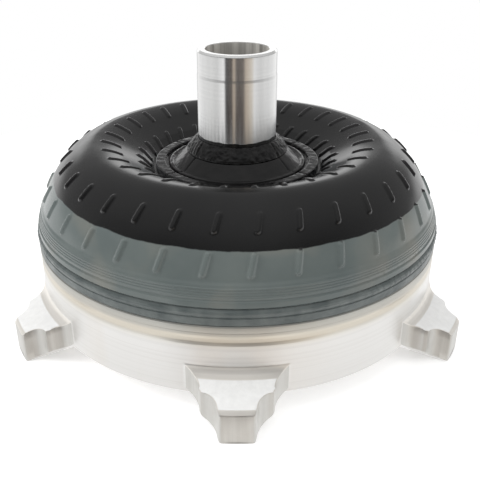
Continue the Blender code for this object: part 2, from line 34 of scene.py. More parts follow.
# Housing, as in the CAD model
BODY_R = 125.0
WALL_R = 119.3
COVER_BOTTOM_Z = 11.0
FLOOR_Z = 20.0
COVER_TOP_Z = 54.0
BOSS_R = 27.0
BOSS_Z = 26.5
WELD_TOP_Z = 63.2

# Lugs
LUGS = 6
LUG_TIP_R = 147.0
LUG_TIP_HALF = 9.5
LUG_FILLET_R = 12.0
LUG_FILLET_CENTRE = (133.43, 31.05)
LUG_SCALLOP_R = 9.4
LUG_SCALLOP_CENTRE = (144.5, 19.4)
LUG_ROOT_R = 6.5
LUG_ROOT_CENTRE = (131.5, 31.1)
LUG_TOP_SLOPE = 0.338
LUG_CHAMFER = 2.0
LUG_EDGE = 0.55
ROOT_LOW_Z = 24.0
ROOT_TOP_Z = 37.0
PAD_HALF = 9.0
PAD_STEP = 1.2
PAD_STEP_WIDE = 0.9
UNDER_SLOPE = 0.8

# The lug's inner end, which is sunk into the cup
LUG_SUNK_RADII = [108.2, 112.0, 116.5, 120.9]
LUG_SUNK_HALF = 24.0
LUG_SUNK_TOP_Z = 12.8
LUG_WALL_RADII = [121.2, 123.0, 124.6]
LUG_WALL_HALF = 28.4
LUG_RAMP_R = 116.5
LUG_RAMP_SLOPE = 1.4

# Bolt holes
BOLT_CIRCLE_R = 136.53
BOLT_HOLE_R = 4.76
BOLT_DEPTH = 14.0

# Hub and flange
HUB_R = 23.8
HUB_TIP_R = 23.55
HUB_BORE_R = 18.9
HUB_BASE_Z = 90.0
HUB_STEP_Z = 149.5
HUB_TOP_Z = 163.5
HUB_PAINT_Z = 112.9
SEAM_ANGLES = (-126.0, -54.0, 54.0, 126.0)

# Outside of the impeller shell
CROWN_R = 87.3
CROWN_TOP_Z = 110.0
CROWN_FOOT_Z = 42.2
CROWN_WIDE = 40.1
CROWN_POWER = 1.136
FLANK_ARC_R = 32.0
FLANK_TURN = radians(30)
PAINT_LINE_Z = 89.7
SHELL_INSIDE = [(32.0, 88.8), (54.6, 91.0), (76.0, 103.6), (90.0, 105.9)]
SHELL_INSIDE += [(104.5, 96.4), (114.6, 82.0), (118.9, 73.0), (WALL_R, 63.6)]

# Dimple rows: outer and inner end (radius, degrees from -Y), half width, height, edge width
DIMPLES = 32
DIMPLE_ROWS = (
    ((119.4, 3.0), (113.6, 4.4), 1.6, 1.3, 1.4),
    ((108.6, 5.2), (100.5, 6.4), 1.6, 1.2, 1.4),
    ((83.0, 6.0), (71.0, 7.4), 1.6, 1.0, 1.2),
    ((62.0, 6.5), (53.5, 10.0), 1.6, 1.3, 1.2),
)

# --- Mesh helpers --------------------------------------------------------------------------------


def smooth(x):
    x = np.clip(x, 0.0, 1.0)
    return x * x * (3.0 - 2.0 * x)


def rounded(path, default=0.3, steps=4):
    """An open (radius, z) path with its corners filleted; a point may give its own fillet radius."""
    points = [Vector(p[:2]) for p in path]
    out = [tuple(points[0])]
    for i in range(1, len(points) - 1):
        radius = path[i][2] if len(path[i]) > 2 else default
        corner = points[i]
        back, on = points[i - 1] - corner, points[i + 1] - corner
        half = back.angle(on) / 2
        reach = min(radius / max(tan(half), 1e-3), 0.45 * back.length, 0.45 * on.length)
        if radius == 0 or half > radians(89):
            out.append(tuple(corner))
            continue
        start, end = corner + back.normalized() * reach, corner + on.normalized() * reach
        for k in range(steps + 1):
            share = k / steps
            here = start.lerp(corner, share).lerp(corner.lerp(end, share), share)
            out.append(tuple(here))
    out.append(tuple(points[-1]))
    return out


def fine(path, step):
    """The same path with points no further apart than a step."""
    out = [path[0]]
    for a, b in zip(path, path[1:]):
        along, up = b[0] - a[0], b[1] - a[1]
        count = max(1, int(np.ceil(hypot(along, up) / step)))
        out += [(a[0] + along * k / count, a[1] + up * k / count) for k in range(1, count + 1)]
    return out


def turn_profile(profile, columns):
    """Points (row, column, 3) in millimetres of a (radius, z) profile turned about Z, starting at -Y."""
    r, z = np.array(profile, float).T
    angle = 2 * pi * np.arange(columns) / columns
    points = np.empty((len(r), columns, 3))
    points[..., 0] = r[:, None] * np.sin(angle)
    points[..., 1] = -r[:, None] * np.cos(angle)
    points[..., 2] = z[:, None]
    return points


def polar_of(points):
    """Radius, z and angle from -Y towards +X of each point."""
    x, y, z = np.moveaxis(points, -1, 0)
    return np.hypot(x, y), z, np.arctan2(x, -y)


def normals_of(profile):
    """Unit (radius, z) vectors square to an open path, to its right as it is followed."""
    path = np.array(profile, float)
    along = np.gradient(path, axis=0)
    along /= np.maximum(np.linalg.norm(along, axis=1, keepdims=True), 1e-9)
    return np.stack([along[:, 1], -along[:, 0]], axis=1)


def moved_out(points, normals, height):
    """Points pushed along (radius, z) normals by a height per point."""
    r, z, angle = polar_of(points)
    r = r + normals[:, 0][:, None] * height
    out = np.empty_like(points)
    out[..., 0], out[..., 1] = r * np.sin(angle), -r * np.cos(angle)
    out[..., 2] = z + normals[:, 1][:, None] * height
    return out


def add_mesh(name, points, faces, sharp_angle=35):
    mesh = bpy.data.meshes.new(name)
    mesh.from_pydata((np.asarray(points) * MM).tolist(), [], faces)
    mesh.validate()
    mesh.shade_smooth()
    mesh.set_sharp_from_angle(angle=radians(sharp_angle))
    obj = bpy.data.objects.new(name, mesh)
    bpy.context.scene.collection.objects.link(obj)
    return obj


def grid_mesh(name, points, looped=True, sharp_angle=35):
    """A closed body from rows of points round the axis: looped over its rows, or capped at both ends.

    Rows go up the outside, so that faces point outwards.
    """
    rows, columns = points.shape[:2]
    index = np.arange(rows * columns).reshape(rows, columns)
    last = rows if looped else rows - 1
    low, high = index[:last], np.roll(index, -1, axis=0)[:last]
    quads = np.stack([low, np.roll(low, -1, axis=1), np.roll(high, -1, axis=1), high], axis=-1)
    faces = quads.reshape(-1, 4).tolist()
    if not looped:
        faces += [index[0][::-1].tolist(), index[-1].tolist()]
    return add_mesh(name, points.reshape(-1, 3), faces, sharp_angle)


def turned(name, profile, columns=256, looped=True, sharp_angle=35):
    return grid_mesh(name, turn_profile(profile, columns), looped, sharp_angle)


def fractal(points, size, seed=0.0, octaves=3):
    """Smooth noise between about -1 and 1 at each point, with features of a size in millimetres."""
    flat = points.reshape(-1, 3) / size + seed
    values = [noise.fractal(Vector(p), 0.9, 2.1, octaves) for p in flat]
    return np.array(values).reshape(points.shape[:-1])


# --- Material helpers ----------------------------------------------------------------------------


class Nodes:
    """Builds a node tree in code. A socket takes a number, a colour or another node's output."""

    def __init__(self, tree):
        self.tree = tree

    def node(self, kind, inputs=None, **settings):
        made = self.tree.nodes.new(kind)
        for key, value in settings.items():
            setattr(made, key, value)
        for key, value in (inputs or {}).items():
            self.put(made.inputs[key], value)
        return made

    def put(self, socket, value):
        if isinstance(value, bpy.types.NodeSocket):
            self.tree.links.new(value, socket)
        elif isinstance(value, tuple) and len(value) == 3 and socket.type == "RGBA":
            socket.default_value = (*value, 1.0)
        else:
            socket.default_value = value

    def math(self, operation, a, b=0.0):
        return self.node("ShaderNodeMath", {0: a, 1: b}, operation=operation).outputs[0]

    def remap(self, value, low, high, to_low=0.0, to_high=1.0):
        inputs = {"Value": value, "From Min": low, "From Max": high, "To Min": to_low, "To Max": to_high}
        return self.node("ShaderNodeMapRange", inputs).outputs[0]

    def mix(self, share, a, b):
        return self.node("ShaderNodeMix", {0: share, 6: a, 7: b}, data_type="RGBA").outputs[2]

    def ramp(self, value, stops):
        """Colour stops as (place, colour or grey)."""
        made = self.node("ShaderNodeValToRGB", {"Fac": value})
        elements = made.color_ramp.elements
        while len(elements) < len(stops):
            elements.new(0.5)
        for element, (place, tone) in zip(elements, stops):
            element.position = place
            element.color = (*tone, 1.0) if isinstance(tone, tuple) else (tone, tone, tone, 1.0)
        return made.outputs["Color"]


class Look(Nodes):
    """A material, with the pieces that its patterns are made from."""

    def __init__(self, name):
        self.material = bpy.data.materials.new(name)
        self.material.use_nodes = True
        super().__init__(self.material.node_tree)
        self.shader = self.tree.nodes["Principled BSDF"]
        self.place = self.node("ShaderNodeTexCoord").outputs["Object"]

    def noise(self, per_metre, detail=3.0, rough=0.5, stretch=None, distortion=0.0):
        vector = self.place
        if stretch:
            vector = self.node("ShaderNodeMapping", {"Vector": vector, "Scale": stretch}).outputs[0]
        inputs = {"Vector": vector, "Scale": per_metre, "Detail": detail, "Roughness": rough}
        return self.node("ShaderNodeTexNoise", {**inputs, "Distortion": distortion}).outputs["Fac"]

    def bump(self, height, strength, depth_mm, under=None):
        inputs = {"Height": height, "Strength": strength, "Distance": depth_mm * MM}
        if under is not None:
            inputs["Normal"] = under
        return self.node("ShaderNodeBump", inputs).outputs["Normal"]

    def height_z(self):
        return self.node("ShaderNodeSeparateXYZ", {"Vector": self.place}).outputs["Z"]

    def finish(self, colour, roughness, normal=None, **fixed):
        self.put(self.shader.inputs["Base Color"], colour)
        self.put(self.shader.inputs["Roughness"], roughness)
        if normal is not None:
            self.put(self.shader.inputs["Normal"], normal)
        for key, value in fixed.items():
            self.shader.inputs[key.replace("_", " ")].default_value = value
        return self.material


def dressed(obj, *looks):
    """An object with its materials, one for each slot."""
    obj.data.materials.clear()
    for look in looks:
        obj.data.materials.append(look)
    return obj


# --- Materials -----------------------------------------------------------------------------------


def shell_paint():
    """Grey paint on the shell's side and glossy black paint over its top, meeting in a hand-held line."""
    look = Look("shell_paint")
    wander = look.remap(look.noise(55.0, 4.0), 0.3, 0.7, -0.5 * MM, 0.5 * MM)
    x = look.node("ShaderNodeSeparateXYZ", {"Vector": look.place}).outputs["X"]
    height = look.math("ADD", look.math("ADD", look.height_z(), wander), look.math("MULTIPLY", x, 0.012))
    black = look.remap(height, (PAINT_LINE_Z - 0.25) * MM, (PAINT_LINE_Z + 0.25) * MM)
    cloud = look.noise(28.0, 4.0)
    grey = look.ramp(cloud, [(0.3, (0.092, 0.110, 0.108)), (0.7, (0.122, 0.140, 0.134))])
    # Warm patches in the grey are painted reflection.
    warm_painted_reflection = look.remap(look.noise(32.0, 2.0, 0.4), 0.52, 0.72, 0.0, 0.55)
    grey = look.mix(warm_painted_reflection, grey, (0.185, 0.178, 0.152))
    dark = look.ramp(cloud, [(0.3, (0.0060, 0.0060, 0.0062)), (0.7, (0.0085, 0.0085, 0.0086))])
    peel = look.bump(look.noise(60.0, 2.0), 0.15, 0.4)
    grey_rough = look.remap(look.noise(90.0, 3.0), 0.3, 0.7, 0.14, 0.24)
    black_rough = look.remap(look.noise(90.0, 3.0), 0.3, 0.7, 0.13, 0.20)
    rough = look.node("ShaderNodeMix", {0: black, 2: grey_rough, 3: black_rough}).outputs[0]
    return look.finish(look.mix(black, grey, dark), rough, peel)


def weld_paint():
    """The same grey paint lying over a coarse weld bead."""
    look = Look("weld_paint")
    grey = look.ramp(look.noise(120.0, 5.0), [(0.3, (0.058, 0.072, 0.072)), (0.7, (0.112, 0.128, 0.124))])
    coarse = look.bump(look.noise(260.0, 4.0, stretch=(1.0, 1.0, 1.8)), 0.6, 0.7)
    return look.finish(grey, look.remap(look.noise(150.0), 0.3, 0.7, 0.3, 0.5), coarse, Coat_Weight=0.2)


def black_paint(name, rough_low, rough_high, lumps):
    look = Look(name)
    cloud = look.noise(150.0, 4.0)
    dark = look.ramp(cloud, [(0.35, (0.0025, 0.0025, 0.0027)), (0.75, (0.006, 0.0055, 0.0055))])
    normal = look.bump(look.noise(220.0, 4.0), lumps, 0.5)
    rough = look.remap(look.noise(130.0), 0.3, 0.7, rough_low, rough_high)
    return look.finish(dark, rough, normal)


def turned_steel(name, colour_low, colour_high, rough_low, rough_high, line_strength, metallic=1.0):
    """Bright steel off a lathe: rings round the axis in its colour, roughness and relief."""
    look = Look(name)
    rings = look.noise(1.0, 4.0, 0.65, stretch=(3.0, 3.0, 900.0))
    broad = look.noise(1.0, 3.0, 0.5, stretch=(6.0, 6.0, 110.0))
    stain = look.noise(22.0, 4.0)
    tone = look.math("ADD", look.math("MULTIPLY", rings, 0.45), look.math("MULTIPLY", broad, 0.55))
    colour = look.ramp(tone, [(0.35, colour_low), (0.6, colour_high)])
    soiled = tuple(0.82 * c for c in colour_low)
    colour = look.mix(look.remap(stain, 0.58, 0.8, 0.0, 0.5), colour, soiled)
    normal = look.bump(rings, line_strength, 0.12)
    rough = look.remap(tone, 0.35, 0.65, rough_low, rough_high)
    return look.finish(colour, rough, normal, Metallic=metallic)


def cover_steel():
    """The cover's satin turned wall, its colour banded with painted reflection: bright below, with a tan band
    at its groove and a dull, lined lip.
    """
    look = Look("cover_turned_steel")
    # Tone by height is painted reflection: a bright lower wall, a tan band at the groove and a darker lip.
    painted_reflection_bands = (
        (11, (0.78, 0.77, 0.75)), (40, (0.84, 0.83, 0.81)), (42.8, (0.81, 0.79, 0.74)),
        (44.5, (0.72, 0.67, 0.58)), (47.4, (0.70, 0.65, 0.56)), (49, (0.58, 0.56, 0.51)),
        (54, (0.46, 0.46, 0.43)),
    )
    share = look.remap(look.height_z(), COVER_BOTTOM_Z * MM, COVER_TOP_Z * MM)
    span = COVER_TOP_Z - COVER_BOTTOM_Z
    colour = look.ramp(share, [((z - COVER_BOTTOM_Z) / span, tone) for z, tone in painted_reflection_bands])
    rings = look.noise(1.0, 4.0, 0.65, stretch=(3.0, 3.0, 900.0))
    painted_reflection_patches = look.noise(1.0, 2.0, 0.5, stretch=(34.0, 34.0, 6.0))
    colour = look.mix(look.remap(rings, 0.5, 0.75, 0.0, 0.16), colour, (0.52, 0.50, 0.46))
    # Tan streaky patches are painted reflection.
    colour = look.mix(look.remap(painted_reflection_patches, 0.5, 0.75, 0.0, 0.3), colour, (0.74, 0.68, 0.60))
    rough = look.remap(rings, 0.3, 0.7, 0.28, 0.38)
    return look.finish(colour, rough, look.bump(rings, 0.10, 0.1), Metallic=0.85)


def hub_steel():
    """The sleeve's fine turned finish, which draws reflections out along its length; its foot is painted. Its
    colour also carries painted reflection streaks along its length.
    """
    look = Look("hub_turned_steel")
    rings = look.noise(1.0, 4.0, 0.65, stretch=(3.0, 3.0, 700.0))
    # Streaks along the length are painted reflection; the rings are the turning.
    streaks = look.noise(1.0, 3.0, 0.5, stretch=(160.0, 160.0, 5.0))
    tone = look.math("ADD", look.math("MULTIPLY", rings, 0.4), look.math("MULTIPLY", streaks, 0.6))
    bright = look.ramp(tone, [(0.35, (0.66, 0.66, 0.66)), (0.62, (0.82, 0.82, 0.81))])
    edge = look.math("ADD", look.height_z(), look.remap(look.noise(150.0), 0.3, 0.7, -0.4 * MM, 0.4 * MM))
    clean = look.remap(edge, (HUB_PAINT_Z - 0.15) * MM, (HUB_PAINT_Z + 0.15) * MM)
    colour = look.mix(clean, (0.004, 0.004, 0.004), bright)
    tangent = look.node("ShaderNodeTangent", direction_type="RADIAL", axis="Z").outputs[0]
    look.put(look.shader.inputs["Tangent"], tangent)
    look.put(look.shader.inputs["Metallic"], clean)
    rough = look.remap(tone, 0.35, 0.65, 0.20, 0.27)
    fixed = {"Anisotropic": 0.88, "Anisotropic_Rotation": 0.25}
    return look.finish(colour, rough, look.bump(rings, 0.08, 0.1), **fixed)


def bore_steel():
    """The sleeve's reamed bore: a dull finish with painted reflection streaks along its length."""
    look = Look("hub_bore_steel")
    # Streaks along the length in the colour are painted reflection.
    streaks = look.noise(1.0, 3.0, 0.5, stretch=(190.0, 190.0, 6.0))
    colour = look.ramp(streaks, [(0.35, (0.30, 0.29, 0.27)), (0.62, (0.72, 0.70, 0.66))])
    rough = look.remap(streaks, 0.35, 0.65, 0.3, 0.42)
    return look.finish(colour, rough, look.bump(streaks, 0.1, 0.1), Metallic=0.45)


def milled_steel(name, colour_low, colour_high, rough_low, rough_high, stretch, metallic):
    """Milled steel with brushed lines along one direction."""
    look = Look(name)
    lines = look.noise(1.0, 4.0, 0.65, stretch=stretch)
    cloud = look.noise(60.0, 4.0)
    tone = look.math("ADD", look.math("MULTIPLY", lines, 0.6), look.math("MULTIPLY", cloud, 0.4))
    colour = look.ramp(tone, [(0.36, colour_low), (0.62, colour_high)])
    rough = look.remap(tone, 0.35, 0.65, rough_low, rough_high)
    return look.finish(colour, rough, look.bump(lines, 0.25, 0.15), Metallic=metallic)


def cast_metal(name, colour_low, colour_high, roughness):
    look = Look(name)
    grain = look.noise(700.0, 3.0)
    colour = look.ramp(look.noise(45.0, 5.0), [(0.3, colour_low), (0.7, colour_high)])
    rough = look.remap(grain, 0.3, 0.7, roughness - 0.08, roughness + 0.08)
    return look.finish(colour, rough, look.bump(grain, 0.3, 0.25), Metallic=1.0)


def friction_paper():
    look = Look("friction_paper")
    fibre = look.noise(900.0, 6.0, 0.7, distortion=0.4)
    colour = look.ramp(fibre, [(0.3, (0.10, 0.055, 0.028)), (0.7, (0.26, 0.16, 0.09))])
    return look.finish(colour, look.remap(fibre, 0.3, 0.7, 0.7, 0.95), look.bump(fibre, 0.5, 0.2))


def seal_rubber():
    look = Look("seal_rubber")
    grain = look.noise(600.0, 3.0)
    colour = look.ramp(grain, [(0.3, (0.012, 0.012, 0.013)), (0.7, (0.03, 0.03, 0.031))])
    return look.finish(colour, look.remap(grain, 0.3, 0.7, 0.5, 0.65), look.bump(grain, 0.2, 0.1))


# --- Impeller shell ------------------------------------------------------------------------------


def crown(turn):
    """A point on the shell's outside, from the rim at 0 degrees to the top of the crown at 90."""
    turn = radians(turn)
    high = CROWN_TOP_Z - CROWN_FOOT_Z
    return (CROWN_R + CROWN_WIDE * cos(turn) ** CROWN_POWER, CROWN_FOOT_Z + high * sin(turn) ** CROWN_POWER)


def flank(r):
    """A point on the shell's outside between the crown and the bowl, at a radius."""
    arc_end = CROWN_R - FLANK_ARC_R * sin(FLANK_TURN)
    if r > arc_end:
        return (r, CROWN_TOP_Z - FLANK_ARC_R + (FLANK_ARC_R**2 - (CROWN_R - r) ** 2) ** 0.5)
    arc_end_z = CROWN_TOP_Z - FLANK_ARC_R * (1 - cos(FLANK_TURN))
    return (r, arc_end_z - (arc_end - r) * tan(FLANK_TURN))


def shell_outside():
    """The shell's outside from its foot on the weld to its seat under the hub flange."""
    foot = [(123.7, 63.6), (124.3, 64.4, 0.5), (124.2, 67.3, 0.6), (123.3, 67.9, 0.2), (123.3, 68.3, 0.2)]
    for k in range(4):
        r, z = 123.5 - 0.42 * k, 69.2 + 1.25 * k
        foot += [(r, z, 0.3), (r - 0.1, z + 0.75, 0.3), (r - 0.55, z + 1.0, 0.1)]
    foot += [(121.1, 75.0), crown(33)]
    bowl = [flank(62.0), (58.6, 98.3, 2.0), (55.4, 95.2, 2.0), (52.0, 92.0, 0.6), (32.0, 91.8)]
    over_crown = [crown(t) for t in np.linspace(34, 90, 75)]
    over_flank = [flank(r) for r in np.linspace(CROWN_R - 0.8, 63.0, 30)]
    return fine(rounded(foot) + over_crown + over_flank + rounded(bowl), 0.7)


def dimples(points, stations, radii):
    """Height of the pads pressed up over the vane tabs, at each point."""
    height = np.zeros(points.shape[:2])
    angle = polar_of(points)[2]
    pitch = 2 * pi / DIMPLES
    order = np.argsort(radii)
    for (outer_r, outer_deg), (inner_r, inner_deg), half_wide, high, edge in DIMPLE_ROWS:
        start, end = np.interp((outer_r, inner_r), radii[order], stations[order])
        share = np.clip((stations - start) / (end - start), -0.5, 1.5)
        middle = radians(outer_deg) + share * radians(inner_deg - outer_deg)
        across = (angle - middle[:, None] + pitch / 2) % pitch - pitch / 2
        across = across * radii[:, None]
        beyond = np.maximum(np.abs(stations - (start + end) / 2) - (end - start) / 2 + half_wide, 0.0)
        distance = np.hypot(across, beyond[:, None]) - half_wide
        height = np.maximum(height, high * smooth(0.35 - distance / edge))
    return height


def impeller_shell(look):
    outside = shell_outside()
    points = turn_profile(outside + SHELL_INSIDE, 36 * DIMPLES)
    path = np.array(outside)
    count = len(outside)
    stations = np.concatenate([[0.0], np.cumsum(np.hypot(*np.diff(path, axis=0).T))])
    skin = points[:count]
    height = dimples(skin, stations, path[:, 0])
    height[2:-8] += 0.10 * fractal(skin[2:-8], 30.0, 3.0, 2)
    height += 0.10 * pitted(skin, 68.8, 1.4)
    points[:count] = moved_out(skin, normals_of(outside), height)
    return dressed(grid_mesh("impeller_shell_body", points, sharp_angle=50), look)


def pitted(points, middle, half_high):
    """Pits in a band round the shell, on its right-hand side only."""
    _, z, angle = polar_of(points)
    band = smooth(1.0 - np.abs(z - middle) / half_high) * smooth((angle - radians(25)) / 0.2)
    return -band * smooth(2.0 * fractal(points, 1.4, 7.0, 2))


def closure_weld(look):
    """The lip of painted cover and the weld bead that joins the shell to it.

    The bead is smooth and streaky in front, pebbled on both sides, and scaly on the right.
    """
    low, lip_top = COVER_TOP_Z + 0.3, WELD_TOP_Z - 4.6
    path = [
        (BODY_R - 0.4, low), (BODY_R, low + 0.4, 0.3), (BODY_R, lip_top, 0.3),
        (BODY_R - 0.5, lip_top + 0.3, 0.2), (BODY_R + 0.2, lip_top + 1.0, 0.6),
        (BODY_R + 0.5, lip_top + 2.5, 1.5),
        (BODY_R + 0.1, WELD_TOP_Z - 0.7, 0.6), (BODY_R - 1.0, WELD_TOP_Z),
    ]
    outside = fine(rounded(path), 0.4)
    points = turn_profile(outside + [(WALL_R, WELD_TOP_Z), (WALL_R, low)], 1400)
    count = len(outside)
    skin = points[:count]
    z, angle = polar_of(skin)[1:]
    inside = smooth((z - lip_top - 0.4) / 0.6) * smooth((WELD_TOP_Z + 0.1 - z) / 0.6)
    sides = smooth((np.abs(angle) - radians(32)) / radians(20))
    right = smooth((angle - radians(18)) / radians(18)) * smooth((radians(120) - angle) / radians(20))
    along = np.stack([BODY_R * angle / 9.0, z / 0.9, 0.0 * z], axis=-1)
    streaks = 0.12 * fractal(along, 1.0, 4.0, 3)
    pebbles = 0.20 * fractal(skin, 1.15, 1.0, 2)
    turn = BODY_R * angle / 4.6 + 0.45 * (z - lip_top) / 4.6 + 0.25 * fractal(skin, 6.0, 9.0, 1)
    scales = 0.30 * (1.0 - turn % 1.0) - 0.15
    height = inside * (streaks * (1.0 - sides) + pebbles * sides + scales * right - 0.15)
    points[:count] = moved_out(skin, normals_of(outside), height)
    return dressed(grid_mesh("closure_weld_bead", points, sharp_angle=60), look)


# --- Hub and flange ------------------------------------------------------------------------------


def pump_drive_hub(*looks):
    """The ground sleeve that drives the pump, with a finer turned length at its tip."""
    outside = [
        (HUB_BORE_R + 0.4, HUB_BASE_Z), (HUB_R, HUB_BASE_Z, 0.3), (HUB_R, HUB_STEP_Z - 1.2, 0.3),
        (HUB_TIP_R, HUB_STEP_Z + 0.3, 0.1), (HUB_TIP_R, HUB_TOP_Z - 1.1, 0.5),
        (HUB_TIP_R - 1.1, HUB_TOP_Z, 0.5),
        (HUB_BORE_R + 0.3, HUB_TOP_Z, 0.1), (HUB_BORE_R, HUB_TOP_Z - 0.3, 0.1), (HUB_BORE_R, 140.0, 0.2),
        (HUB_BORE_R + 0.35, 139.4, 0.2), (HUB_BORE_R + 0.35, 96.0, 0.2), (HUB_BORE_R, 95.0, 0.2),
        (HUB_BORE_R, HUB_BASE_Z + 0.4),
    ]
    hub = turned("pump_drive_hub_sleeve", fine(rounded(outside), 1.5), 288, sharp_angle=30)
    dressed(hub, *looks)
    for face in hub.data.polygons:
        x, y, _ = face.center / MM
        # Upward faces of the end ring take the brighter steel, a painted highlight.
        if face.normal.z > 0.6:
            face.material_index = 1
        elif hypot(x, y) < HUB_BORE_R + 0.9:
            face.material_index = 2
    return hub


def seams(points, depth, half_wide):
    """Depth of the radial seams that cross the cone and its weld."""
    r, _, angle = polar_of(points)
    lowered = np.zeros(r.shape)
    for place in SEAM_ANGLES:
        across = (angle - radians(place) + pi) % (2 * pi) - pi
        lowered = np.maximum(lowered, depth * smooth(1.0 - np.abs(across * r) / half_wide))
    return lowered


def hub_flange(look):
    bore = HUB_R + 0.3
    outside = [
        (bore, 92.2), (50.6, 92.2, 0.3), (50.6, 96.5, 0.7), (44.9, 96.5, 0.5), (44.1, 94.1, 0.4),
        (42.6, 94.1, 0.4), (41.9, 95.9, 0.8), (40.4, 96.2, 0.8), (39.1, 95.4, 0.5), (31.0, 102.5, 0.4),
        (bore, 102.5),
    ]
    path = fine(rounded(outside), 0.7)
    points = turn_profile(path, 720)
    z = polar_of(points)[1]
    upper = smooth((z - 95.2) / 1.0)
    height = -upper * seams(points, 0.9, 0.9) + 0.12 * smooth((z - 93.0) / 2.0) * fractal(points, 4.0, 5.0)
    inner = polar_of(points)[0] < bore + 0.6
    height[inner] = 0.0
    points = moved_out(points, normals_of(path), height)
    return dressed(grid_mesh("hub_flange_cone", points, sharp_angle=50), look)


def hub_weld(look):
    """The weld round the hub's foot, built up in lumpy passes with a ragged lower edge."""
    bore, foot = HUB_R + 0.3, 102.8
    outside = [(bore, foot), (30.9, foot, 0.2), (30.4, 104.4, 1.0), (27.6, 108.1, 3.0)]
    outside += [(25.4, 110.2, 1.0), (bore, 110.8)]
    path = fine(rounded(outside), 0.4)
    points = turn_profile(path, 540)
    r, z, angle = polar_of(points)
    lumpy = smooth((r - bore - 0.2) / 1.2) * smooth((z - foot) / 0.8)
    ripple = np.sin(46 * angle + 2.6 * np.sin(5 * angle) + 0.7 * z)
    height = lumpy * (0.10 * ripple + 0.50 * fractal(points, 3.6, 2.0) - seams(points, 0.7, 0.8) - 0.1)
    points = moved_out(points, normals_of(path), height)
    points[..., 2] = np.maximum(points[..., 2], foot)
    return dressed(grid_mesh("hub_weld_bead", points, sharp_angle=50), look)


# --- Front cover ---------------------------------------------------------------------------------


def cover_cup():
    """The turned cup: wall with its grooves, flat front face, and the bearing boss inside."""
    outside = [
        (2.0, COVER_BOTTOM_Z), (58.0, COVER_BOTTOM_Z, 0.3), (59.5, COVER_BOTTOM_Z + 0.9, 0.3),
        (98.0, COVER_BOTTOM_Z + 0.9, 0.3), (99.5, COVER_BOTTOM_Z, 0.3), (BODY_R - 1.6, COVER_BOTTOM_Z, 0.3),
        (BODY_R, COVER_BOTTOM_Z + 1.6, 0.5), (BODY_R, 42.6, 1.5), (BODY_R - 0.4, 44.4, 1.5),
        (BODY_R - 0.4, 46.6, 1.5), (BODY_R - 0.05, 48.1, 1.0), (BODY_R - 0.05, 49.8, 0.1),
        (BODY_R - 0.12, 49.95, 0.1), (BODY_R, 50.1, 0.1),
        (BODY_R, COVER_TOP_Z - 0.6, 0.2), (BODY_R - 0.6, COVER_TOP_Z, 0.2), (WALL_R, COVER_TOP_Z, 0.2),
        (WALL_R, FLOOR_Z, 2.0), (BOSS_R, FLOOR_Z, 0.8), (BOSS_R, BOSS_Z, 0.4), (2.0, BOSS_Z),
    ]
    return turned("front_cover_casting", fine(rounded(outside), 2.0), 60 * LUGS, looped=False, sharp_angle=40)


def arc(centre, radius, start, end, steps):
    """Points (along, across) round part of a circle, between two angles in degrees."""
    turns = np.radians(np.linspace(start, end, steps))
    return [(centre[0] + radius * cos(t), centre[1] + radius * sin(t)) for t in turns]


def lug_plan():
    """Half width of a lug against radius, from its root fillet past its shoulder and scallop to its tip."""
    half = arc(LUG_FILLET_CENTRE, LUG_FILLET_R, 193.1, 270, 14)
    half += arc(LUG_SCALLOP_CENTRE, LUG_SCALLOP_R, 187, 262, 16)
    half += [(LUG_TIP_R - 1.3, LUG_TIP_HALF - 0.15), (LUG_TIP_R - 0.7, LUG_TIP_HALF - 0.5)]
    half += [(LUG_TIP_R - 0.4, LUG_TIP_HALF - 1.0)]
    x, y = np.array(sorted(half, key=lambda p: hypot(*p))).T
    return np.hypot(x, y), y


def lug_top(r):
    """Height of a lug's top: a concave root off the wall, a slope down, and a chamfer at the tip."""
    root = arc(LUG_ROOT_CENTRE, LUG_ROOT_R, 180, 251.3, 12)
    end_r, end_z = root[-1]
    chamfer_r = LUG_TIP_R - LUG_CHAMFER
    chamfer_z = end_z - LUG_TOP_SLOPE * (chamfer_r - end_r)
    path = [(123.0, 34.0)] + root + [(chamfer_r, chamfer_z), (LUG_TIP_R, chamfer_z - LUG_CHAMFER)]
    return float(np.interp(r, *np.array(path).T))


def lug_under(y, r):
    """Height of a lug's underside: a flat pad, a step and a slope beside it, and a ramp at its inner end."""
    past_pad = max(0.0, y - PAD_HALF)
    rise = PAD_STEP * min(1.0, past_pad / PAD_STEP_WIDE) + UNDER_SLOPE * max(0.0, past_pad - PAD_STEP_WIDE)
    return max(rise, LUG_RAMP_SLOPE * max(0.0, LUG_RAMP_R - r))


def lug_section(r, half, top, inset):
    """A ring of points round a lug at one radius, from the middle of its underside."""
    half, top = half - inset, top - inset
    edge = min(LUG_EDGE, 0.2 * half)

    def under(y):
        return min(lug_under(y, r) + inset, top - 0.15)

    side = [(0.0, under(0.0)), (0.45 * PAD_HALF, under(0.0))]
    for y in (PAD_HALF - 0.3, PAD_HALF + PAD_STEP_WIDE, 0.5 * (PAD_HALF + half), half - edge):
        y = min(y, half - edge)
        side.append((y, under(y)))
    low = min(under(half) + edge, top - 0.1)
    high = max(top - edge, low + 0.02)
    side += [(half, low)] + [(half, low + (high - low) * k / 4) for k in range(1, 5)]
    side += [(half - 0.3 * edge, top - 0.3 * edge), (half - edge, top)]
    side += [(0.66 * half, top), (0.33 * half, top), (0.0, top)]
    ring = side + [(-y, z) for y, z in side[-2:0:-1]]
    return [((r * r - y * y) ** 0.5, y, z) for y, z in ring]


